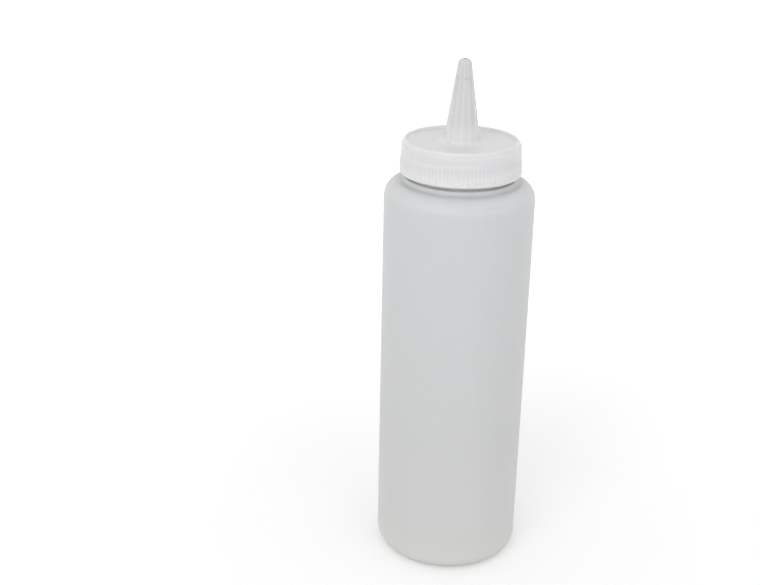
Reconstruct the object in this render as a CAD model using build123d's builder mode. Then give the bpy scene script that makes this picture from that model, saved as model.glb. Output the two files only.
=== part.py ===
from build123d import *
from math import pi, radians, sin
import os

# Condiment squeeze bottle: a blow-moulded bottle, a screw cap with a fluted nozzle,
# and a soft ring that seals the one on the other. Millimetres, +Z up.
# The origin is the centre of the ring that the bottle stands on.

# Bottle body
body_diameter = 50.8
body_wall = 0.9
base_wall = 1.3
heel_radius = 5.0
stand_ring_width = 1.8
base_rise = 1.8
shoulder_top = 138.4
collar_diameter = 38.0
collar_height = 1.5
collar_root_fillet = 0.8
collar_edge_fillet = 0.5

# Neck, with a single-start right-hand thread of six turns to the inch
neck_height = 9.6
neck_diameter = 35.2
neck_wall = 1.6
neck_root_fillet = 0.5
lip_fillet = 0.35
throat_fillet = 1.6
thread_pitch = 25.4 / 6
thread_depth = 1.1
thread_root_width = 2.3
thread_crest_width = 1.0
thread_turns = 1.25
thread_lip_margin = 0.85
thread_root_overlap = 0.3
thread_ramp_angle = 15

# Clearances between the bottle, the ring and the cap
thread_radial_gap = 0.25
thread_axial_gap = 0.2
seal_face_gap = 0.1
foot_gap = 1.5

# Sealing ring
seal_thickness = 0.8
seal_inner_diameter = 26.0
seal_edge_gap = 0.55
seal_thread_gap = 0.3

# Cap: skirt, raised rim and sunk top
skirt_wall = 1.45
skirt_draft = 0.5
skirt_foot_fillet = 0.3
skirt_shoulder_fillet = 0.45
skirt_thread_margin = 0.3
deck_thickness = 1.1
deck_depth = 0.9
rim_inset = 0.6
rim_height = 1.3
rim_width = 1.2
rim_draft = 0.1
rim_fillet = 0.45
deck_edge_fillet = 0.3
cavity_fillet = 0.35

# Ribs for the fingers, between grooves in the lower part of the skirt
rib_count = 96
rib_length = 5.0
rib_foot_margin = 0.9
rib_groove_radius = 0.4
rib_groove_depth = 0.25

# Nozzle on the cap
nozzle_height = 27.4
nozzle_base_diameter = 12.2
nozzle_base_fillet = 1.5
nozzle_tip_fillet = 1.15
nozzle_tip_wall = 1.45
orifice_diameter = 1.2
orifice_length = 1.5
orifice_edge_fillet = 0.1
nozzle_wall_tip = 0.95
nozzle_wall_base = 1.1
bore_mouth_fillet = 0.5
flute_count = 12
flute_tip_margin = 5.7
flute_base_margin = 0.3
flute_top_depth = 0.1
flute_base_depth = 0.2

# Heights and radii that follow from the sizes above
body_radius = body_diameter / 2
stand_outer_radius = body_radius - heel_radius
stand_inner_radius = stand_outer_radius - stand_ring_width
collar_radius = collar_diameter / 2
collar_top = shoulder_top + collar_height
neck_radius = neck_diameter / 2
bore_radius = neck_radius - neck_wall
lip_height = collar_top + neck_height
shoulder_radius = body_radius - collar_radius
thread_crest_radius = neck_radius + thread_depth

seal_low = lip_height + seal_face_gap
seal_high = seal_low + seal_thickness
deck_low = seal_high + seal_face_gap
deck_high = deck_low + deck_thickness
rim_top = deck_high + deck_depth
skirt_foot = collar_top + foot_gap
skirt_shoulder = rim_top - rim_height
skirt_inner_radius = thread_crest_radius + thread_radial_gap
skirt_foot_radius = skirt_inner_radius + skirt_wall
skirt_top_radius = skirt_foot_radius - skirt_draft
rim_radius = skirt_top_radius - rim_inset
seal_outer_radius = skirt_inner_radius - seal_edge_gap
nozzle_tip = deck_high + nozzle_height
nozzle_base_radius = nozzle_base_diameter / 2
orifice_radius = orifice_diameter / 2
nozzle_tip_radius = orifice_radius + nozzle_tip_wall
orifice_low = nozzle_tip - orifice_length


def skirt_radius(z):
    """Outer radius of the skirt at height z, which narrows upwards."""
    share = (z - skirt_foot) / (skirt_shoulder - skirt_foot)
    return skirt_foot_radius - skirt_draft * share


def nozzle_radius(z):
    """Outer radius of the nozzle's cone at height z."""
    share = (z - deck_high) / nozzle_height
    return nozzle_base_radius + (nozzle_tip_radius - nozzle_base_radius) * share


def screw_ridge(root_radius, depth, low_centre, start_angle, turns):
    """One ridge of the thread, outwards from root_radius, or inwards where depth is negative.

    Its centre line starts at low_centre, start_angle degrees round from +X, and climbs one
    pitch a turn. Each end is cut to a ramp that rises from the root to the crest.
    """
    side = 1 if depth > 0 else -1
    crest_radius = root_radius + depth
    buried_radius = root_radius - side * thread_root_overlap
    rise = thread_pitch * turns
    with BuildPart() as ridge:
        with BuildLine() as path:
            Helix(thread_pitch, rise, root_radius, center=(0, 0, low_centre))
        start = Plane(origin=path.line @ 0, x_dir=(1, 0, 0), z_dir=path.line % 0)
        with BuildSketch(start):
            with BuildLine():
                Polyline(
                    (buried_radius - root_radius, -thread_root_width / 2),
                    (0, -thread_root_width / 2),
                    (crest_radius - root_radius, -thread_crest_width / 2),
                    (crest_radius - root_radius, thread_crest_width / 2),
                    (0, thread_root_width / 2),
                    (buried_radius - root_radius, thread_root_width / 2),
                    close=True,
                )
            make_face()
        sweep(path=path.line, is_frenet=True)
        ramp_length = radians(thread_ramp_angle) * root_radius
        for end_angle, inward, end_z in (
            (0, 1, low_centre),
            (360 * turns, -1, low_centre + rise),
        ):
            crest_angle = end_angle + inward * thread_ramp_angle
            root_point = Vector(root_radius, 0, end_z).rotate(Axis.Z, end_angle)
            crest_point = Vector(crest_radius, 0, end_z).rotate(Axis.Z, crest_angle)
            middle = (root_point + crest_point) / 2
            along = (crest_point - root_point) * (side * inward)
            with Locations(Plane(origin=middle, x_dir=along, z_dir=(0, 0, 1))):
                Box(
                    2 * ramp_length,
                    2 * abs(depth),
                    thread_root_width + thread_depth,
                    align=(Align.CENTER, Align.MAX, Align.CENTER),
                    mode=Mode.SUBTRACT,
                )
    return ridge.part.rotate(Axis.Z, start_angle)


# The neck's ridge starts at +X and ends below the lip
neck_ridge_high = lip_height - thread_lip_margin - thread_root_width / 2
neck_ridge_low = neck_ridge_high - thread_pitch * thread_turns
neck_ridge = screw_ridge(neck_radius, thread_depth, neck_ridge_low, 0, thread_turns)

# The cap's ridge lies under the neck's ridge, by both half widths and the gap,
# and fills the height between the skirt's foot and the sealing ring
flank_slope = (thread_root_width - thread_crest_width) / 2 / thread_depth
crest_gap_width = thread_root_width / 2 - flank_slope * thread_radial_gap
ridge_drop = crest_gap_width + thread_crest_width / 2 + thread_axial_gap
cap_ridge_low = skirt_foot + skirt_thread_margin + thread_root_width / 2
cap_ridge_high = seal_low - seal_thread_gap - thread_root_width / 2
cap_ridge_angle = 360 * (cap_ridge_low - neck_ridge_low + ridge_drop) / thread_pitch
cap_ridge_turns = (cap_ridge_high - cap_ridge_low) / thread_pitch
cap_ridge = screw_ridge(
    skirt_inner_radius, -thread_depth, cap_ridge_low, cap_ridge_angle, cap_ridge_turns
)

# Bottle: one wall from the raised middle of the base, out round the heel, up the body,
# over the shoulder, up the neck to the lip, and back down inside
with BuildPart() as bottle:
    with BuildSketch(Plane.XZ):
        with BuildLine():
            FilletPolyline(
                (stand_inner_radius, 0),
                (body_radius, 0),
                (body_radius, shoulder_top),
                (collar_radius, shoulder_top),
                (collar_radius, collar_top),
                (neck_radius, collar_top),
                (neck_radius, lip_height),
                (bore_radius, lip_height),
                (bore_radius, shoulder_top - body_wall),
                (body_radius - body_wall, shoulder_top - body_wall),
                (body_radius - body_wall, base_wall),
                (stand_inner_radius, base_wall),
                radius=(
                    heel_radius,
                    shoulder_radius - collar_root_fillet,
                    collar_root_fillet,
                    collar_edge_fillet,
                    neck_root_fillet,
                    lip_fillet,
                    lip_fillet,
                    throat_fillet,
                    shoulder_radius - body_wall,
                    heel_radius - body_wall,
                ),
            )
            TangentArc(
                (0, base_rise + base_wall),
                (stand_inner_radius, base_wall),
                tangent=(1, 0),
            )
            Line((0, base_rise + base_wall), (0, base_rise))
            TangentArc((0, base_rise), (stand_inner_radius, 0), tangent=(1, 0))
        make_face()
    revolve(axis=Axis.Z)
    add(neck_ridge)

# Sealing ring: flat, loose in the cap above its thread, pressed on the lip
with BuildPart() as sealing_ring:
    with BuildSketch(Plane.XY.offset(seal_low)):
        Circle(seal_outer_radius)
        Circle(seal_inner_diameter / 2, mode=Mode.SUBTRACT)
    extrude(amount=seal_thickness)

# A long shallow flute for the nozzle, deeper towards its foot
flute_top = nozzle_tip - flute_tip_margin
flute_base = deck_high + flute_base_margin
with BuildPart() as flute:
    for height, depth in ((flute_base, flute_base_depth), (flute_top, flute_top_depth)):
        half_width = nozzle_radius(height) * sin(pi / flute_count)
        flute_radius = (half_width**2 + depth**2) / (2 * depth)
        with BuildSketch(Plane.XY.offset(height)):
            with Locations((nozzle_radius(height) + flute_radius - depth, 0)):
                Circle(flute_radius)
    loft()

# A groove beside one rib of the skirt, following the skirt's draft
rib_low = skirt_foot + rib_foot_margin
with BuildPart() as rib_groove:
    for height in (rib_low, rib_low + rib_length):
        with BuildSketch(Plane.XY.offset(height)):
            with Locations((skirt_radius(height) + rib_groove_radius - rib_groove_depth, 0)):
                Circle(rib_groove_radius)
    loft()

# Screw cap: skirt, raised rim, sunk top and nozzle in one moulding
with BuildPart() as screw_cap:
    with BuildSketch(Plane.XZ):
        with BuildLine():
            FilletPolyline(
                (skirt_inner_radius, skirt_foot),
                (skirt_foot_radius, skirt_foot),
                (skirt_top_radius, skirt_shoulder),
                (rim_radius, skirt_shoulder),
                (rim_radius - rim_draft, rim_top),
                (rim_radius - rim_width, rim_top),
                (rim_radius - rim_width - rim_draft, deck_high),
                (nozzle_base_radius, deck_high),
                (nozzle_tip_radius, nozzle_tip),
                (orifice_radius, nozzle_tip),
                (orifice_radius, orifice_low),
                (nozzle_radius(orifice_low) - nozzle_wall_tip, orifice_low),
                (nozzle_base_radius - nozzle_wall_base, deck_low),
                (skirt_inner_radius, deck_low),
                close=True,
                radius=(
                    skirt_foot_fillet,
                    skirt_foot_fillet,
                    skirt_shoulder_fillet,
                    0,
                    rim_fillet,
                    rim_fillet,
                    deck_edge_fillet,
                    nozzle_base_fillet,
                    nozzle_tip_fillet,
                    orifice_edge_fillet,
                    0,
                    0,
                    bore_mouth_fillet,
                    cavity_fillet,
                ),
            )
        make_face()
    revolve(axis=Axis.Z)
    add(cap_ridge)
    with PolarLocations(0, flute_count):
        add(flute.part, mode=Mode.SUBTRACT)
    with PolarLocations(0, rib_count):
        add(rib_groove.part, mode=Mode.SUBTRACT)

os.makedirs("parts", exist_ok=True)
bottle.part.label = "bottle"
export_step(bottle.part, "parts/bottle.step")
sealing_ring.part.label = "sealing_ring"
export_step(sealing_ring.part, "parts/sealing_ring.step")
screw_cap.part.label = "screw_cap"
export_step(screw_cap.part, "parts/screw_cap.step")

print("overall height", round(nozzle_tip, 2), "lip", round(lip_height, 2), "rim", round(rim_top, 2))
print("skirt foot", round(skirt_foot, 2), "skirt diameter", round(2 * skirt_foot_radius, 2))
print("cap thread turns", round(cap_ridge_turns, 3), "from", round(cap_ridge_angle, 1), "degrees")
print("lift per radian", round(thread_pitch / (2 * pi), 6))
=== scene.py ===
from math import atan2, cos, hypot, pi, radians, sin, sqrt, tan

import bmesh
import bpy
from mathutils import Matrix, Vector


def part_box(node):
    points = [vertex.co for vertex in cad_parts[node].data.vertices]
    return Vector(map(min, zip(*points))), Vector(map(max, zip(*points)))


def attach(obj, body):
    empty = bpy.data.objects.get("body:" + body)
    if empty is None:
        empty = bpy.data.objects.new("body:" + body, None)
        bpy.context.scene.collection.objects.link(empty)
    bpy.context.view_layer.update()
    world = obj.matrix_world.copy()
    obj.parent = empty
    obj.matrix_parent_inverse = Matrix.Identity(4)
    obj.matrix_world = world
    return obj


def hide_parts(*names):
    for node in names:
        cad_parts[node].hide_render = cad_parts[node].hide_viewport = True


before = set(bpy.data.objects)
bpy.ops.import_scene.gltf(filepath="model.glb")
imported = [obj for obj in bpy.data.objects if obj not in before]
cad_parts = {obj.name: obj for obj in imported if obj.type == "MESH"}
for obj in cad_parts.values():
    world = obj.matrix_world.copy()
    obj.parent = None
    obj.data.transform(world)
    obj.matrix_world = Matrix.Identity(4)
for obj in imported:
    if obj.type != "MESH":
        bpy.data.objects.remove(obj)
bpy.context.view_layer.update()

# View. The bottle is seen from in front and a little above, through a lens of middling length.
# The camera leans a little to one side, as the photographer's did.
camera_place = (0, -0.388, 0.2547)
camera_turn = (radians(67.85), radians(-0.95), radians(4.24))
camera_data = bpy.data.cameras.new("camera")
camera_data.sensor_width = 36
camera_data.lens = 57
camera = bpy.data.objects.new("camera", camera_data)
camera.location = camera_place
camera.rotation_euler = camera_turn
bpy.context.collection.objects.link(camera)
bpy.context.scene.camera = camera
bpy.context.scene.view_settings.view_transform = "Standard"

# Studio. A wide white sheet to stand on, an even white surround, and two large soft lamps:
# the main one in front and a little to the left, a weaker one on the right. Sheet and surround
# look pure white to the camera and in gloss, but light the bottle only at a plain level.
sheet_size = 8
sheet_colour = (0.82, 0.82, 0.82, 1)
sheet_glow_near = 0.2
sheet_glow_far = 0.6
sheet_near = 0.08
sheet_far = 0.7
surround_strength = 0.86
main_lamp = {"place": (-0.6, -1.3, 1.0), "size": 1.1, "power": 6}
side_lamp = {"place": (0.9, -1.1, 0.6), "size": 1.0, "power": 1.5}
lamp_aim = Vector((0, 0, 0.09))


def seen_as_background(nodes, links):
    """A value of 1 for rays that show how the surroundings look, and 0 for those that only light."""
    path = nodes.new("ShaderNodeLightPath")
    total = path.outputs["Is Camera Ray"]
    for ray in ("Is Glossy Ray", "Is Transmission Ray"):
        either = nodes.new("ShaderNodeMath")
        either.operation = "MAXIMUM"
        links.new(total, either.inputs[0])
        links.new(path.outputs[ray], either.inputs[1])
        total = either.outputs[0]
    return total


bpy.ops.object.select_all(action="DESELECT")
bpy.ops.mesh.primitive_plane_add(size=sheet_size)
floor = bpy.context.object
floor.name = "floor"
floor_material = bpy.data.materials.new("white_sheet")
floor_material.use_nodes = True
floor_nodes = floor_material.node_tree.nodes
floor_links = floor_material.node_tree.links
floor_shader = floor_nodes["Principled BSDF"]
floor_shader.inputs["Base Color"].default_value = sheet_colour
floor_shader.inputs["Roughness"].default_value = 0.9
floor_shader.inputs["Specular IOR Level"].default_value = 0.1
floor_shader.inputs["Emission Color"].default_value = (1, 1, 1, 1)
floor_place = floor_nodes.new("ShaderNodeTexCoord")
floor_distance = floor_nodes.new("ShaderNodeVectorMath")
floor_distance.operation = "LENGTH"
floor_links.new(floor_place.outputs["Object"], floor_distance.inputs[0])
floor_lift = floor_nodes.new("ShaderNodeMapRange")
floor_lift.inputs["From Min"].default_value = sheet_near
floor_lift.inputs["From Max"].default_value = sheet_far
floor_lift.inputs["To Min"].default_value = sheet_glow_near
floor_lift.inputs["To Max"].default_value = sheet_glow_far
floor_links.new(floor_distance.outputs["Value"], floor_lift.inputs["Value"])
floor_glow = floor_nodes.new("ShaderNodeMath")
floor_glow.operation = "MULTIPLY"
floor_links.new(floor_lift.outputs["Result"], floor_glow.inputs[1])
floor_links.new(seen_as_background(floor_nodes, floor_links), floor_glow.inputs[0])
floor_links.new(floor_glow.outputs[0], floor_shader.inputs["Emission Strength"])
floor.data.materials.append(floor_material)

world = bpy.data.worlds.new("surround")
bpy.context.scene.world = world
world.use_nodes = True
world_nodes = world.node_tree.nodes
world_links = world.node_tree.links
surround = world_nodes["Background"]
surround.inputs["Color"].default_value = (1, 1, 1, 1)
surround_level = world_nodes.new("ShaderNodeMapRange")
surround_level.inputs["To Min"].default_value = surround_strength
surround_level.inputs["To Max"].default_value = 1
world_links.new(seen_as_background(world_nodes, world_links), surround_level.inputs["Value"])
world_links.new(surround_level.outputs["Result"], surround.inputs["Strength"])

for name, lamp in (("main_lamp", main_lamp), ("side_lamp", side_lamp)):
    lamp_data = bpy.data.lights.new(name, "AREA")
    lamp_data.shape = "DISK"
    lamp_data.size = lamp["size"]
    lamp_data.energy = lamp["power"]
    lamp_object = bpy.data.objects.new(name, lamp_data)
    lamp_object.location = lamp["place"]
    towards = lamp_aim - Vector(lamp["place"])
    lamp_object.rotation_euler = towards.to_track_quat("-Z", "Y").to_euler()
    bpy.context.collection.objects.link(lamp_object)


# Bottle. One blow-moulded wall of natural low-density polyethylene: a plain round body with a
# rounded heel and shoulder, a raised middle under the base, and a threaded neck.
def draw_outline(name, corners):
    """A new piece that holds a closed outline in the XZ plane, with a point at each corner."""
    bpy.ops.object.select_all(action="DESELECT")
    bpy.ops.mesh.primitive_plane_add(size=0.001)
    piece = bpy.context.object
    piece.name = piece.data.name = name
    bpy.ops.object.mode_set(mode="EDIT")
    bpy.ops.mesh.merge(type="CENTER")
    here = Vector((0, 0, 0))
    for corner in corners:
        there = Vector((corner[0], 0, corner[1]))
        if here.length == 0:
            bpy.ops.transform.translate(value=there)
        else:
            bpy.ops.mesh.extrude_region_move(TRANSFORM_OT_translate={"value": there - here})
        here = there
    return piece


def choose(piece, test):
    """Selects the points whose place and facing pass the test, and the faces between them."""
    mesh = bmesh.from_edit_mesh(piece.data)
    for point in mesh.verts:
        point.select_set(False)
    mesh.select_flush(False)
    for point in mesh.verts:
        if test(point.co, point.normal):
            point.select_set(True)
    mesh.select_flush(True)
    bmesh.update_edit_mesh(piece.data)


def round_corners(piece, corners, arc_step=12):
    """Rounds each corner (across, up, radius) with an arc that has an edge every arc_step degrees."""
    for across, up, radius in corners:
        if radius:
            corner = Vector((across, 0, up))
            mesh = bmesh.from_edit_mesh(piece.data)
            point = min(mesh.verts, key=lambda p: (p.co - corner).length)
            one, other = [(edge.other_vert(point).co - point.co) for edge in point.link_edges]
            turn = pi - one.angle(other)
            choose(piece, lambda place, facing: (place - corner).length < same_place)
            bpy.ops.mesh.bevel(
                offset_type="OFFSET",
                offset=radius * tan(turn / 2),
                segments=max(2, round(turn / radians(arc_step))),
                affect="VERTICES",
                clamp_overlap=False,
            )


def turn_round(columns, angle=2 * pi):
    """Spins the outline about the upright axis, into a closed shell or a slice of one."""
    whole = angle > 1.99 * pi
    bpy.ops.mesh.select_all(action="SELECT")
    bpy.ops.mesh.spin(
        steps=columns, angle=angle, center=(0, 0, 0), axis=(0, 0, 1), use_auto_merge=whole
    )


def close_shell():
    """Merges what touches, turns all faces outwards and leaves edit mode."""
    bpy.ops.mesh.select_all(action="SELECT")
    bpy.ops.mesh.remove_doubles(threshold=same_place)
    bpy.ops.mesh.normals_make_consistent(inside=False)
    bpy.ops.object.mode_set(mode="OBJECT")


def make_ridge(name, root, depth, low, start_angle, turns):
    """The ridge of a thread, out from radius root, or inwards where depth is negative.
    It is sunk a little into the wall that carries it, and its ends are ramps."""
    side = 1 if depth > 0 else -1
    buried = root - side * thread_sunk
    crest = root + depth
    ridge = draw_outline(
        name,
        [
            (buried, low - thread_root_width / 2),
            (root, low - thread_root_width / 2),
            (crest, low - thread_crest_width / 2),
            (crest, low + thread_crest_width / 2),
            (root, low + thread_root_width / 2),
            (buried, low + thread_root_width / 2),
        ],
    )
    bpy.ops.mesh.select_all(action="SELECT")
    bpy.ops.mesh.edge_face_add()
    bpy.ops.mesh.delete(type="ONLY_FACE")
    bpy.ops.object.mode_set(mode="OBJECT")
    columns = round(thread_columns * turns)
    screw = ridge.modifiers.new("screw", "SCREW")
    screw.angle = 2 * pi * turns
    screw.screw_offset = thread_pitch * turns
    screw.steps = screw.render_steps = columns
    bpy.ops.object.modifier_apply(modifier="screw")
    bpy.ops.object.mode_set(mode="EDIT")
    bpy.ops.mesh.select_all(action="DESELECT")
    bpy.ops.mesh.select_non_manifold(extend=False)
    bpy.ops.mesh.edge_face_add()
    step = 2 * pi * turns / columns
    ramp_columns = round(thread_ramp_angle / step)
    for column in range(ramp_columns):
        height = (crest - side * thread_end_sunk - depth * (1 - column / ramp_columns)) / crest
        for index in (column, columns - column):
            angle = index * step
            up = low + thread_pitch * angle / (2 * pi)
            choose(
                ridge,
                lambda p, facing: abs(p.z - up) < 0.001
                and abs(hypot(p.x, p.y) - crest) < 1e-5
                and (p.xy.normalized() - Vector((cos(angle), sin(angle)))).length < 1e-3,
            )
            bpy.ops.transform.resize(value=(height, height, 1), center_override=(0, 0, 0))
    bpy.ops.mesh.select_all(action="SELECT")
    bpy.ops.transform.rotate(value=-start_angle, orient_axis="Z", center_override=(0, 0, 0))
    close_shell()
    return ridge


def join_solid(piece, part):
    """Melts the part into the piece, as one moulding."""
    bpy.context.view_layer.objects.active = piece
    union = piece.modifiers.new("union", "BOOLEAN")
    union.operation = "UNION"
    union.solver = "MANIFOLD"
    union.object = part
    bpy.ops.object.modifier_apply(modifier=union.name)
    bpy.data.objects.remove(part)


same_place = 1e-6
body_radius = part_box("bottle")[1][0]
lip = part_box("bottle")[1][2]
neck_height = 0.0096
neck_radius = 0.0176
neck_bore = 0.016
collar_height = 0.0015
collar_radius = 0.019
collar_top = lip - neck_height
shoulder_top = collar_top - collar_height
shoulder_radius = body_radius - collar_radius
bottle_wall = 0.0009
base_wall = 0.0013
base_rise = 0.0018
heel_radius = 0.005
stand_width = 0.0018
stand_inner = body_radius - heel_radius - stand_width
stand_fillet = 0.002
collar_root_fillet = 0.0008
collar_edge_fillet = 0.0005
lip_fillet = 0.00035
throat_fillet = 0.0016
bottle_columns = 160
thread_pitch = 0.0254 / 6
thread_depth = 0.0011
thread_root_width = 0.0023
thread_crest_width = 0.001
thread_turns = 1.25
thread_ramp_angle = radians(15)
thread_columns = 144
thread_sunk = 0.0003
thread_end_sunk = 0.0001
thread_lip_gap = 0.00085
neck_ridge_high = lip - thread_lip_gap - thread_root_width / 2
neck_ridge_low = neck_ridge_high - thread_pitch * thread_turns

dome_steps = 6
dome_radius = (stand_inner**2 + base_rise**2) / (2 * base_rise)
dome = [
    (across, base_rise - dome_radius + sqrt(dome_radius**2 - across**2), 0)
    for across in [stand_inner * step / dome_steps for step in range(dome_steps)]
]
bottle_corners = [
    *dome,
    (stand_inner, 0, stand_fillet),
    (body_radius, 0, heel_radius),
    (body_radius, shoulder_top, shoulder_radius - collar_root_fillet),
    (collar_radius, shoulder_top, collar_root_fillet),
    (collar_radius, collar_top, collar_edge_fillet),
    (neck_radius, collar_top, collar_edge_fillet),
    (neck_radius, lip, lip_fillet),
    (neck_bore, lip, lip_fillet),
    (neck_bore, shoulder_top - bottle_wall, throat_fillet),
    (body_radius - bottle_wall, shoulder_top - bottle_wall, shoulder_radius - bottle_wall),
    (body_radius - bottle_wall, base_wall, heel_radius - bottle_wall),
    (stand_inner, base_wall, stand_fillet),
    *[(across, up + base_wall, 0) for across, up, radius in reversed(dome)],
]
neck_ridge = make_ridge("neck_ridge", neck_radius, thread_depth, neck_ridge_low, 0, thread_turns)
bottle = draw_outline("squeeze_bottle", bottle_corners)
round_corners(bottle, bottle_corners)
turn_round(bottle_columns)
close_shell()

# The two halves of the mould leave a fine line up either side.
parting_column = 9
parting_angle = 2 * pi * parting_column / bottle_columns
parting_width = 0.0003
parting_height = 0.00006
bpy.ops.object.mode_set(mode="EDIT")
across_parting = Vector((-sin(parting_angle), cos(parting_angle), 0))
along_parting = Vector((cos(parting_angle), sin(parting_angle), 0))


def on_parting_line(p, facing):
    """True for the points on the outside where the two halves of the mould met."""
    outwards = along_parting if p.dot(along_parting) > 0 else -along_parting
    return (
        abs(p.dot(across_parting)) < same_place
        and facing.dot(outwards) > 0.1
        and p.z < collar_top + 10 * same_place
    )


choose(bottle, on_parting_line)
bpy.ops.mesh.bevel(offset=parting_width / 2, segments=2, affect="EDGES")
bpy.ops.mesh.select_all(action="SELECT")
bpy.ops.mesh.normals_make_consistent(inside=False)
choose(bottle, on_parting_line)
bpy.ops.transform.shrink_fatten(value=parting_height)
bpy.ops.object.mode_set(mode="OBJECT")

# Where they pinched off the soft tube, a low seam hangs across the raised middle of the base.
# It is a wedge, sunk into the wall at its wide side.
seam_length = 0.023
seam_height = 0.0003
seam_sunk = 0.0004
seam_root = 0.0004
seam_edge = 0.00016
seam_steps = 12
seam_turn = seam_length / dome_radius
seam_centre = (0, 0, base_rise - dome_radius)
seam = draw_outline(
    "pinch_seam",
    [
        (-seam_root, base_rise + seam_sunk),
        (seam_root, base_rise + seam_sunk),
        (seam_edge, base_rise - seam_height),
        (-seam_edge, base_rise - seam_height),
    ],
)
bpy.ops.mesh.select_all(action="SELECT")
bpy.ops.mesh.edge_face_add()
bpy.ops.transform.rotate(value=pi / 2, orient_axis="Z", center_override=(0, 0, 0))
bpy.ops.transform.rotate(value=-seam_turn / 2, orient_axis="Y", center_override=seam_centre)
bpy.ops.mesh.spin(steps=seam_steps, angle=seam_turn, center=seam_centre, axis=(0, 1, 0))
bpy.ops.mesh.select_all(action="SELECT")
bpy.ops.transform.rotate(value=-parting_angle, orient_axis="Z", center_override=(0, 0, 0))
close_shell()
join_solid(bottle, seam)
join_solid(bottle, neck_ridge)
bpy.ops.object.shade_smooth_by_angle(angle=radians(35))
bottle.data.materials.clear()


def milky_plastic(name, tones_with_painted_light, roughness, clearness, streaks):
    """Natural polyethylene: cloudy white right through and satin outside. The (height, colour) pairs
    go from the lowest up; their tones are the plastic's own colour with painted light and shade set
    by height."""
    material = bpy.data.materials.new(name)
    material.use_nodes = True
    nodes = material.node_tree.nodes
    links = material.node_tree.links
    shader = nodes["Principled BSDF"]
    shader.inputs["IOR"].default_value = 1.51
    shader.inputs["Transmission Weight"].default_value = clearness
    shader.inputs["Subsurface Weight"].default_value = 0.6
    shader.inputs["Subsurface Radius"].default_value = (1, 1, 0.95)
    shader.inputs["Subsurface Scale"].default_value = 0.0012

    place = nodes.new("ShaderNodeTexCoord")
    axes = nodes.new("ShaderNodeSeparateXYZ")
    links.new(place.outputs["Object"], axes.inputs["Vector"])
    lowest, highest = tones_with_painted_light[0][0], tones_with_painted_light[-1][0]
    height = nodes.new("ShaderNodeMapRange")
    height.inputs["From Min"].default_value = lowest
    height.inputs["From Max"].default_value = highest
    links.new(axes.outputs["Z"], height.inputs["Value"])
    ramp = nodes.new("ShaderNodeValToRGB")
    links.new(height.outputs["Result"], ramp.inputs["Fac"])
    for index, (up, colour) in enumerate(tones_with_painted_light):
        position = (up - lowest) / (highest - lowest)
        if index > 1:
            ramp.color_ramp.elements.new(position)
        stop = ramp.color_ramp.elements[index]
        stop.position = position
        stop.color = (*colour, 1)

    # Faint clouds are left from the melt, drawn out upwards where the wall was blown from a tube.
    stretch = nodes.new("ShaderNodeMapping")
    stretch.inputs["Scale"].default_value = (1, 1, streaks)
    links.new(place.outputs["Object"], stretch.inputs["Vector"])
    cloud = nodes.new("ShaderNodeTexNoise")
    cloud.inputs["Scale"].default_value = 110
    cloud.inputs["Detail"].default_value = 3
    links.new(stretch.outputs["Vector"], cloud.inputs["Vector"])
    depth = nodes.new("ShaderNodeMapRange")
    depth.inputs["To Min"].default_value = 0.98
    depth.inputs["To Max"].default_value = 1.02
    links.new(cloud.outputs["Fac"], depth.inputs["Value"])
    tint = nodes.new("ShaderNodeMix")
    tint.name = "tint"
    tint.data_type = "RGBA"
    tint.blend_type = "MULTIPLY"
    tint.inputs["Factor"].default_value = 1
    links.new(ramp.outputs["Color"], tint.inputs["A"])
    links.new(depth.outputs["Result"], tint.inputs["B"])
    links.new(tint.outputs["Result"], shader.inputs["Base Color"])

    # The finish is satin, a little uneven, over a fine grain from the mould.
    rough = nodes.new("ShaderNodeMapRange")
    rough.inputs["To Min"].default_value = roughness - 0.05
    rough.inputs["To Max"].default_value = roughness + 0.05
    links.new(cloud.outputs["Fac"], rough.inputs["Value"])
    links.new(rough.outputs["Result"], shader.inputs["Roughness"])
    grain = nodes.new("ShaderNodeTexNoise")
    grain.inputs["Scale"].default_value = 1800
    grain.inputs["Detail"].default_value = 2
    links.new(place.outputs["Object"], grain.inputs["Vector"])
    fine = nodes.new("ShaderNodeBump")
    fine.inputs["Strength"].default_value = 0.12
    fine.inputs["Distance"].default_value = 0.00005
    links.new(grain.outputs["Fac"], fine.inputs["Height"])
    wavy = nodes.new("ShaderNodeBump")
    wavy.inputs["Strength"].default_value = 0.5
    wavy.inputs["Distance"].default_value = 0.0001
    links.new(cloud.outputs["Fac"], wavy.inputs["Height"])
    links.new(fine.outputs["Normal"], wavy.inputs["Normal"])
    links.new(wavy.outputs["Normal"], shader.inputs["Normal"])
    return material


# The bottle's tones by height hold painted shade: darker up the body, lighter and warmer towards the
# heel.
bottle_tones_with_painted_shade = [
    (0, (0.85, 0.84, 0.815)),
    (0.012, (0.79, 0.79, 0.78)),
    (0.05, (0.76, 0.765, 0.77)),
    (lip, (0.78, 0.79, 0.80)),
]
bottle_plastic = milky_plastic(
    "bottle_plastic_natural", bottle_tones_with_painted_shade, roughness=0.42, clearness=0.25, streaks=0.08
)
bottle.data.materials.append(bottle_plastic)
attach(bottle, "bottle")
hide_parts("bottle")

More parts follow.
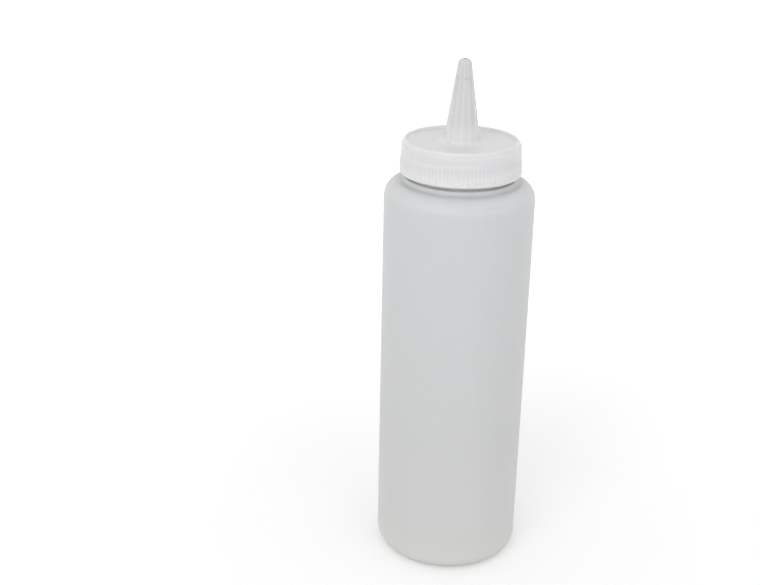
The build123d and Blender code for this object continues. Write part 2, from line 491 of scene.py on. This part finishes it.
# Sealing ring. A thin soft ring die-cut from white polyethylene foam, which lies loose in the
# cap above its thread. The bottle's lip has pressed a faint track into its lower face.
ring_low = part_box("sealing_ring")[0][2]
ring_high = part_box("sealing_ring")[1][2]
ring_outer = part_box("sealing_ring")[1][0]
ring_inner = 0.013
ring_edge = 0.00012
ring_columns = 96
track_depth = 0.00006
track_brim = 0.0001
track_slope = 0.0002
track_fillet = 0.0001
ring_corners = [
    (ring_inner, ring_low, ring_edge),
    (neck_bore - track_brim, ring_low, track_fillet),
    (neck_bore + track_slope, ring_low + track_depth, track_fillet),
    (neck_radius - track_slope, ring_low + track_depth, track_fillet),
    (neck_radius + track_brim, ring_low, track_fillet),
    (ring_outer, ring_low, ring_edge),
    (ring_outer, ring_high, ring_edge),
    (ring_inner, ring_high, ring_edge),
]
ring = draw_outline("foam_ring", ring_corners)
bpy.ops.mesh.select_all(action="SELECT")
bpy.ops.mesh.edge_face_add()
bpy.ops.mesh.delete(type="ONLY_FACE")
round_corners(ring, ring_corners, arc_step=30)
turn_round(ring_columns)
close_shell()
bpy.ops.object.shade_smooth_by_angle(angle=radians(35))

foam = bpy.data.materials.new("seal_foam_white")
foam.use_nodes = True
foam_nodes = foam.node_tree.nodes
foam_links = foam.node_tree.links
foam_shader = foam_nodes["Principled BSDF"]
foam_shader.inputs["Sheen Weight"].default_value = 0.15
foam_place = foam_nodes.new("ShaderNodeTexCoord")
foam_cells = foam_nodes.new("ShaderNodeTexVoronoi")
foam_cells.inputs["Scale"].default_value = 3500
foam_links.new(foam_place.outputs["Object"], foam_cells.inputs["Vector"])
foam_tint = foam_nodes.new("ShaderNodeMix")
foam_tint.data_type = "RGBA"
foam_tint.inputs["A"].default_value = (0.78, 0.78, 0.76, 1)
foam_tint.inputs["B"].default_value = (0.87, 0.87, 0.85, 1)
foam_links.new(foam_cells.outputs["Distance"], foam_tint.inputs["Factor"])
foam_links.new(foam_tint.outputs["Result"], foam_shader.inputs["Base Color"])
foam_rough = foam_nodes.new("ShaderNodeMapRange")
foam_rough.inputs["To Min"].default_value = 0.75
foam_rough.inputs["To Max"].default_value = 0.95
foam_links.new(foam_cells.outputs["Distance"], foam_rough.inputs["Value"])
foam_links.new(foam_rough.outputs["Result"], foam_shader.inputs["Roughness"])
foam_bump = foam_nodes.new("ShaderNodeBump")
foam_bump.inputs["Strength"].default_value = 0.4
foam_bump.inputs["Distance"].default_value = 0.00005
foam_links.new(foam_cells.outputs["Distance"], foam_bump.inputs["Height"])
foam_links.new(foam_bump.outputs["Normal"], foam_shader.inputs["Normal"])
ring.data.materials.append(foam)
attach(ring, "seal")
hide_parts("sealing_ring")

# Screw cap. One injection moulding of the same plastic: a skirt with fine finger ribs and a
# thread inside, a low rim round a sunk top, and a long hollow nozzle with shallow flutes.
cap_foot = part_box("screw_cap")[0][2]
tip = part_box("screw_cap")[1][2]
skirt_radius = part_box("screw_cap")[1][0]
skirt_wall = 0.00145
skirt_inner = skirt_radius - skirt_wall
skirt_in_wall = skirt_inner + 0.0005
skirt_draft = 0.0005
skirt_edge = 0.0003
cavity_fillet = 0.00035
deck_gap = 0.0001
deck_thickness = 0.0011
deck_depth = 0.0009
deck_edge = 0.0003
deck_low = ring_high + deck_gap
deck_high = deck_low + deck_thickness
rim_top = deck_high + deck_depth
rim_height = 0.0013
rim_low = rim_top - rim_height
rim_radius = 0.0193
rim_width = 0.0012
rim_draft = 0.0001
rim_edge = 0.00045
rim_root_fillet = 0.00012
nozzle_base = 0.0061
nozzle_tip = 0.00205
nozzle_fillet = 0.002
nozzle_wall_base = 0.0011
nozzle_wall_tip = 0.00095
orifice = 0.0006
orifice_length = 0.0015
orifice_edge = 0.00012
orifice_low = tip - orifice_length
bore_end_fillet = 0.0003
bore_mouth_fillet = 0.0005
tip_dome_height = 0.0015
tip_dome_low = tip - tip_dome_height
tip_dome_inner = orifice + orifice_edge
tip_dome_step = 9
bead_up = tip - 0.0057
bead_height = 0.00006
bead_half_width = 0.0002
flute_count = 12
flute_columns = 32
flute_low = deck_high + 0.0003
flute_high = tip_dome_low - 0.0001
flute_end = 0.0003
flute_depth = 0.00036
flute_tip_depth = 0.00013
flute_scoop = 0.4
flute_scoop_end = 0.0002
flute_hollow = 1.2
rib_low = cap_foot + 0.0009
rib_high = rib_low + 0.005
rib_columns = 4
rib_count = flute_count * flute_columns / rib_columns
groove_depth = 0.0003
groove_side_depth = 0.0001
groove_slope = 0.0002
groove_ends = [
    rib_low - groove_slope,
    rib_low + groove_slope / 2,
    rib_high - groove_slope,
    rib_high + groove_slope,
]


def skirt_at(up):
    """Outer radius of the skirt at a height."""
    return skirt_radius - skirt_draft * (up - cap_foot) / (rim_low - cap_foot)


def nozzle_at(up):
    """Outer radius of the nozzle's cone at a height."""
    return nozzle_base + (nozzle_tip - nozzle_base) * (up - deck_high) / (tip - deck_high)


tip_dome_width = nozzle_at(tip_dome_low) - tip_dome_inner
tip_dome = [
    (tip_dome_inner + tip_dome_width * cos(turn), tip_dome_low + tip_dome_height * sin(turn), 0)
    for turn in [radians(step) for step in range(0, 91, tip_dome_step)]
]
nozzle_foot = (nozzle_base, deck_high, nozzle_fillet)
cap_corners = [
    (skirt_inner, cap_foot, skirt_edge),
    (skirt_radius, cap_foot, skirt_edge),
    *[(skirt_at(up), up, 0) for up in groove_ends],
    (skirt_radius - skirt_draft, rim_low, rim_edge),
    (rim_radius, rim_low, rim_root_fillet),
    (rim_radius - rim_draft, rim_top, rim_edge),
    (rim_radius - rim_width, rim_top, rim_edge),
    (rim_radius - rim_width - rim_draft, deck_high, deck_edge),
    nozzle_foot,
    (nozzle_at(bead_up - bead_half_width), bead_up - bead_half_width, 0),
    (nozzle_at(bead_up) + bead_height, bead_up - bead_half_width / 3, 0),
    (nozzle_at(bead_up) + bead_height, bead_up + bead_half_width / 3, 0),
    (nozzle_at(bead_up + bead_half_width), bead_up + bead_half_width, 0),
    (nozzle_at(flute_high - flute_end), flute_high - flute_end, 0),
    *tip_dome,
    (orifice, tip - orifice_edge, 0),
    (orifice, orifice_low, 0),
    (nozzle_at(orifice_low) - nozzle_wall_tip, orifice_low, bore_end_fillet),
    (nozzle_base - nozzle_wall_base, deck_low, bore_mouth_fillet),
    (skirt_inner, deck_low, cavity_fillet),
]
cap = draw_outline("nozzle_cap", cap_corners)
bpy.ops.mesh.select_all(action="SELECT")
bpy.ops.mesh.edge_face_add()
bpy.ops.mesh.delete(type="ONLY_FACE")
round_corners(cap, [nozzle_foot], arc_step=6)
round_corners(cap, [corner for corner in cap_corners if corner != nozzle_foot])
turn_round(flute_columns, 2 * pi / flute_count)

# One twelfth of the cap is shaped and then copied round. The grooves between its ribs come first.
column_angle = 2 * pi / (flute_count * flute_columns)
for offset, depth in ((0, groove_depth), (1, groove_side_depth), (3, groove_side_depth)):
    choose(
        cap,
        lambda p, facing: rib_low < p.z < rib_high
        and hypot(p.x, p.y) > skirt_in_wall
        and round(atan2(p.y, p.x) / column_angle) % rib_columns == offset,
    )
    pull = 1 - depth / skirt_radius
    bpy.ops.transform.resize(value=(pull, pull, 1), center_override=(0, 0, 0))

# The flute comes next, in the middle of the slice. At its foot it cuts down into the fillet and
# ends in a small scoop just above the sunk top.
outer_points = [
    (hypot(point.co.x, point.co.y), point.co.z)
    for point in bmesh.from_edit_mesh(cap.data).verts
    if abs(point.co.y) < same_place / 10
    and flute_low - same_place < point.co.z < flute_high + same_place
]
flute_rows = [
    (r, up)
    for r, up in outer_points
    if nozzle_at(up) - 10 * same_place < r < nozzle_base + 1.3 * nozzle_fillet
    and abs(up - bead_up) > bead_half_width / 2
]
for r, up in flute_rows:
    share = (up - deck_high) / (tip - deck_high)
    depth = flute_depth + (flute_tip_depth - flute_depth) * share
    depth += flute_scoop * (r - nozzle_at(up))
    depth *= min(1, (up - flute_low) / flute_scoop_end)
    for column in range(flute_columns // 2):
        pull = 1 - depth * cos(pi * column / flute_columns) ** flute_hollow / r
        choose(
            cap,
            lambda p, facing: abs(p.z - up) < same_place
            and abs(hypot(p.x, p.y) - r) < same_place
            and abs(round(abs(atan2(p.y, p.x)) / column_angle) - flute_columns // 2) == column,
        )
        bpy.ops.transform.resize(value=(pull, pull, 1), center_override=(0, 0, 0))

bpy.ops.mesh.select_all(action="SELECT")
bpy.ops.mesh.spin(
    steps=flute_count - 1,
    dupli=True,
    angle=2 * pi * (flute_count - 1) / flute_count,
    center=(0, 0, 0),
    axis=(0, 0, 1),
)
close_shell()

# The cap's ridge hangs below the neck's by both half widths and a little play, and fills the
# height between the skirt's foot and the sealing ring.
thread_end_gap = 0.0003
thread_play_across = 0.00025
thread_play_up = 0.0002
thread_slope = (thread_root_width - thread_crest_width) / 2 / thread_depth
ridge_drop = (thread_root_width + thread_crest_width) / 2
ridge_drop += thread_play_up - thread_slope * thread_play_across
cap_ridge_low = cap_foot + thread_end_gap + thread_root_width / 2
cap_ridge_high = ring_low - thread_end_gap - thread_root_width / 2
cap_ridge_angle = 2 * pi * (cap_ridge_low - neck_ridge_low + ridge_drop) / thread_pitch
cap_ridge = make_ridge(
    "cap_ridge",
    skirt_inner,
    -thread_depth,
    cap_ridge_low,
    cap_ridge_angle,
    (cap_ridge_high - cap_ridge_low) / thread_pitch,
)
join_solid(cap, cap_ridge)
bpy.ops.object.select_all(action="DESELECT")
cap.select_set(True)
bpy.ops.object.shade_smooth_by_angle(angle=radians(35))
cap.data.materials.clear()


# Painted light and shade on the cap's colour: a near-white painted light along the thread, at the
# rim, at the nozzle's foot and on the flute ridges, and a grey painted shade in the rib grooves and
# the tip's hole.
painted_light_white = (0.985, 0.985, 0.985)
thread_painted_light = 0.5
thread_inside = 0.017
flute_painted_highlight = 0.3
flute_highlight_sharpness = 4
flute_highlight_out = nozzle_base + 0.0009
rim_painted_highlight = 0.4
rim_highlight_spread = 0.0006
foot_painted_light = 0.7
foot_light_spread = 0.0035
foot_light_height = 0.009
# Painted shade: the grey mixed in where less light gets in.
shade = (0.42, 0.42, 0.42)
groove_shade = 0.03
hole_shade_full = orifice + 0.00003
hole_shade_end = orifice + 0.0001


def paint_light_and_shade(material, low, high, start_angle):
    """Paints light and shade into the cap's colour: painted light along the ridge of the thread, a
    painted highlight at the rim, at the foot of the nozzle and along the ridges between its flutes,
    and painted shade between the ribs and in the hole of the tip, where less light gets in."""
    nodes = material.node_tree.nodes
    links = material.node_tree.links

    def work_out(operation, *values):
        """A Math node on numbers or on other nodes' outputs."""
        node = nodes.new("ShaderNodeMath")
        node.operation = operation
        for socket, value in zip(node.inputs, values):
            if isinstance(value, (int, float)):
                socket.default_value = value
            else:
                links.new(value, socket)
        return node.outputs["Value"]

    def between(value, lower, upper):
        """1 where the value lies between the two numbers, and 0 elsewhere."""
        above = work_out("GREATER_THAN", value, lower)
        return work_out("MULTIPLY", above, work_out("LESS_THAN", value, upper))

    def rise(value, start, end, share=1, interpolation="SMOOTHSTEP"):
        """0 up to the start, and the share from the end on. The end may be the smaller number."""
        node = nodes.new("ShaderNodeMapRange")
        node.interpolation_type = interpolation
        node.inputs["From Min"].default_value = start
        node.inputs["From Max"].default_value = end
        node.inputs["To Max"].default_value = share
        links.new(value, node.inputs["Value"])
        return node.outputs["Result"]

    def mix_in(share, base, colour):
        """The base colour with a share of another in it."""
        node = nodes.new("ShaderNodeMix")
        node.data_type = "RGBA"
        node.inputs["B"].default_value = (*colour, 1)
        links.new(share, node.inputs["Factor"])
        links.new(base, node.inputs["A"])
        return node.outputs["Result"]

    place = nodes.new("ShaderNodeTexCoord")
    axes = nodes.new("ShaderNodeSeparateXYZ")
    links.new(place.outputs["Object"], axes.inputs["Vector"])
    x, y, up = axes.outputs["X"], axes.outputs["Y"], axes.outputs["Z"]
    angle = work_out("ARCTAN2", y, x)
    across_squared = work_out("ADD", work_out("POWER", x, 2), work_out("POWER", y, 2))

    # The thread: how far up or down the nearest turn of its ridge is, for a painted light that makes
    # the skirt whiter over the ridge.
    turned = work_out("DIVIDE", work_out("SUBTRACT", angle, start_angle), 2 * pi)
    climbed = work_out("DIVIDE", work_out("SUBTRACT", up, low), thread_pitch)
    past = work_out("FRACT", work_out("ADD", work_out("SUBTRACT", climbed, turned), 0.5))
    off = work_out("MULTIPLY", work_out("SUBTRACT", past, 0.5), thread_pitch)
    ridge = rise(
        work_out("ABSOLUTE", off), thread_root_width / 2, thread_crest_width / 2, thread_painted_light
    )
    threads = work_out("MULTIPLY", ridge, between(work_out("SUBTRACT", up, off), low, high))
    in_skirt = work_out("GREATER_THAN", across_squared, thread_inside**2)
    threads = work_out("MULTIPLY", threads, in_skirt)

    # Painted highlights along the ridges between the flutes.
    waves = work_out("COSINE", work_out("MULTIPLY", angle, flute_count))
    crest_highlights = work_out("POWER", work_out("MULTIPLY_ADD", waves, 0.5, 0.5), flute_highlight_sharpness)
    crest_highlights = work_out("MULTIPLY", crest_highlights, flute_painted_highlight)
    on_nozzle = work_out("LESS_THAN", across_squared, flute_highlight_out**2)
    on_nozzle = work_out("MULTIPLY", work_out("GREATER_THAN", up, flute_low), on_nozzle)

    # A painted highlight at the rim, and painted light at the foot of the nozzle with the top round
    # it.
    above_deck = rise(up, deck_low, deck_high - 0.0003)
    rim_inner = rim_radius - rim_width
    rim = rise(across_squared, (rim_inner - rim_highlight_spread) ** 2, rim_inner**2, rim_painted_highlight)
    rim = work_out("MULTIPLY", above_deck, rim)
    foot = rise(across_squared, (nozzle_base + foot_light_spread) ** 2, nozzle_base**2, foot_painted_light)
    foot = work_out("MULTIPLY", foot, rise(up, deck_high + foot_light_height, deck_high))
    foot = work_out("MULTIPLY", foot, above_deck)

    # All the painted light is mixed into the colour as near-white.
    painted_light_share = work_out("ADD", threads, work_out("ADD", rim, foot))
    painted_light_share = work_out("MULTIPLY_ADD", crest_highlights, on_nozzle, painted_light_share)
    with_painted_light = mix_in(painted_light_share, nodes["tint"].outputs["Result"], painted_light_white)

    # Painted shade in the grooves between the ribs and in the hole in the tip.
    grooves = work_out("COSINE", work_out("MULTIPLY", angle, rib_count))
    grooves = work_out("MULTIPLY_ADD", grooves, groove_shade, groove_shade)
    on_ribs = work_out("GREATER_THAN", across_squared, skirt_in_wall**2)
    on_ribs = work_out("MULTIPLY", between(up, rib_low, rib_high), on_ribs)
    hole = rise(across_squared, hole_shade_end**2, hole_shade_full**2, interpolation="LINEAR")
    painted_shade_share = work_out("MULTIPLY_ADD", grooves, on_ribs, hole)
    links.new(mix_in(painted_shade_share, with_painted_light, shade), nodes["Principled BSDF"].inputs["Base Color"])


# The cap's tones by height hold painted light and shade: lightest and warmest at the foot of the
# skirt, darker over the sunk top, darker still up the nozzle to the tip.
cap_tones_with_painted_light = [
    (cap_foot, (0.96, 0.95, 0.925)),
    (cap_foot + 0.0015, (0.93, 0.93, 0.925)),
    (cap_foot + 0.0041, (0.915, 0.92, 0.93)),
    (rim_top, (0.85, 0.855, 0.865)),
    (rim_top + 0.006, (0.80, 0.80, 0.802)),
    (tip, (0.74, 0.74, 0.74)),
]
cap_plastic = milky_plastic(
    "cap_plastic_natural", cap_tones_with_painted_light, roughness=0.3, clearness=0.25, streaks=1
)
paint_light_and_shade(cap_plastic, cap_ridge_low, cap_ridge_high, cap_ridge_angle)
cap.data.materials.append(cap_plastic)
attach(cap, "cap")
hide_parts("screw_cap")
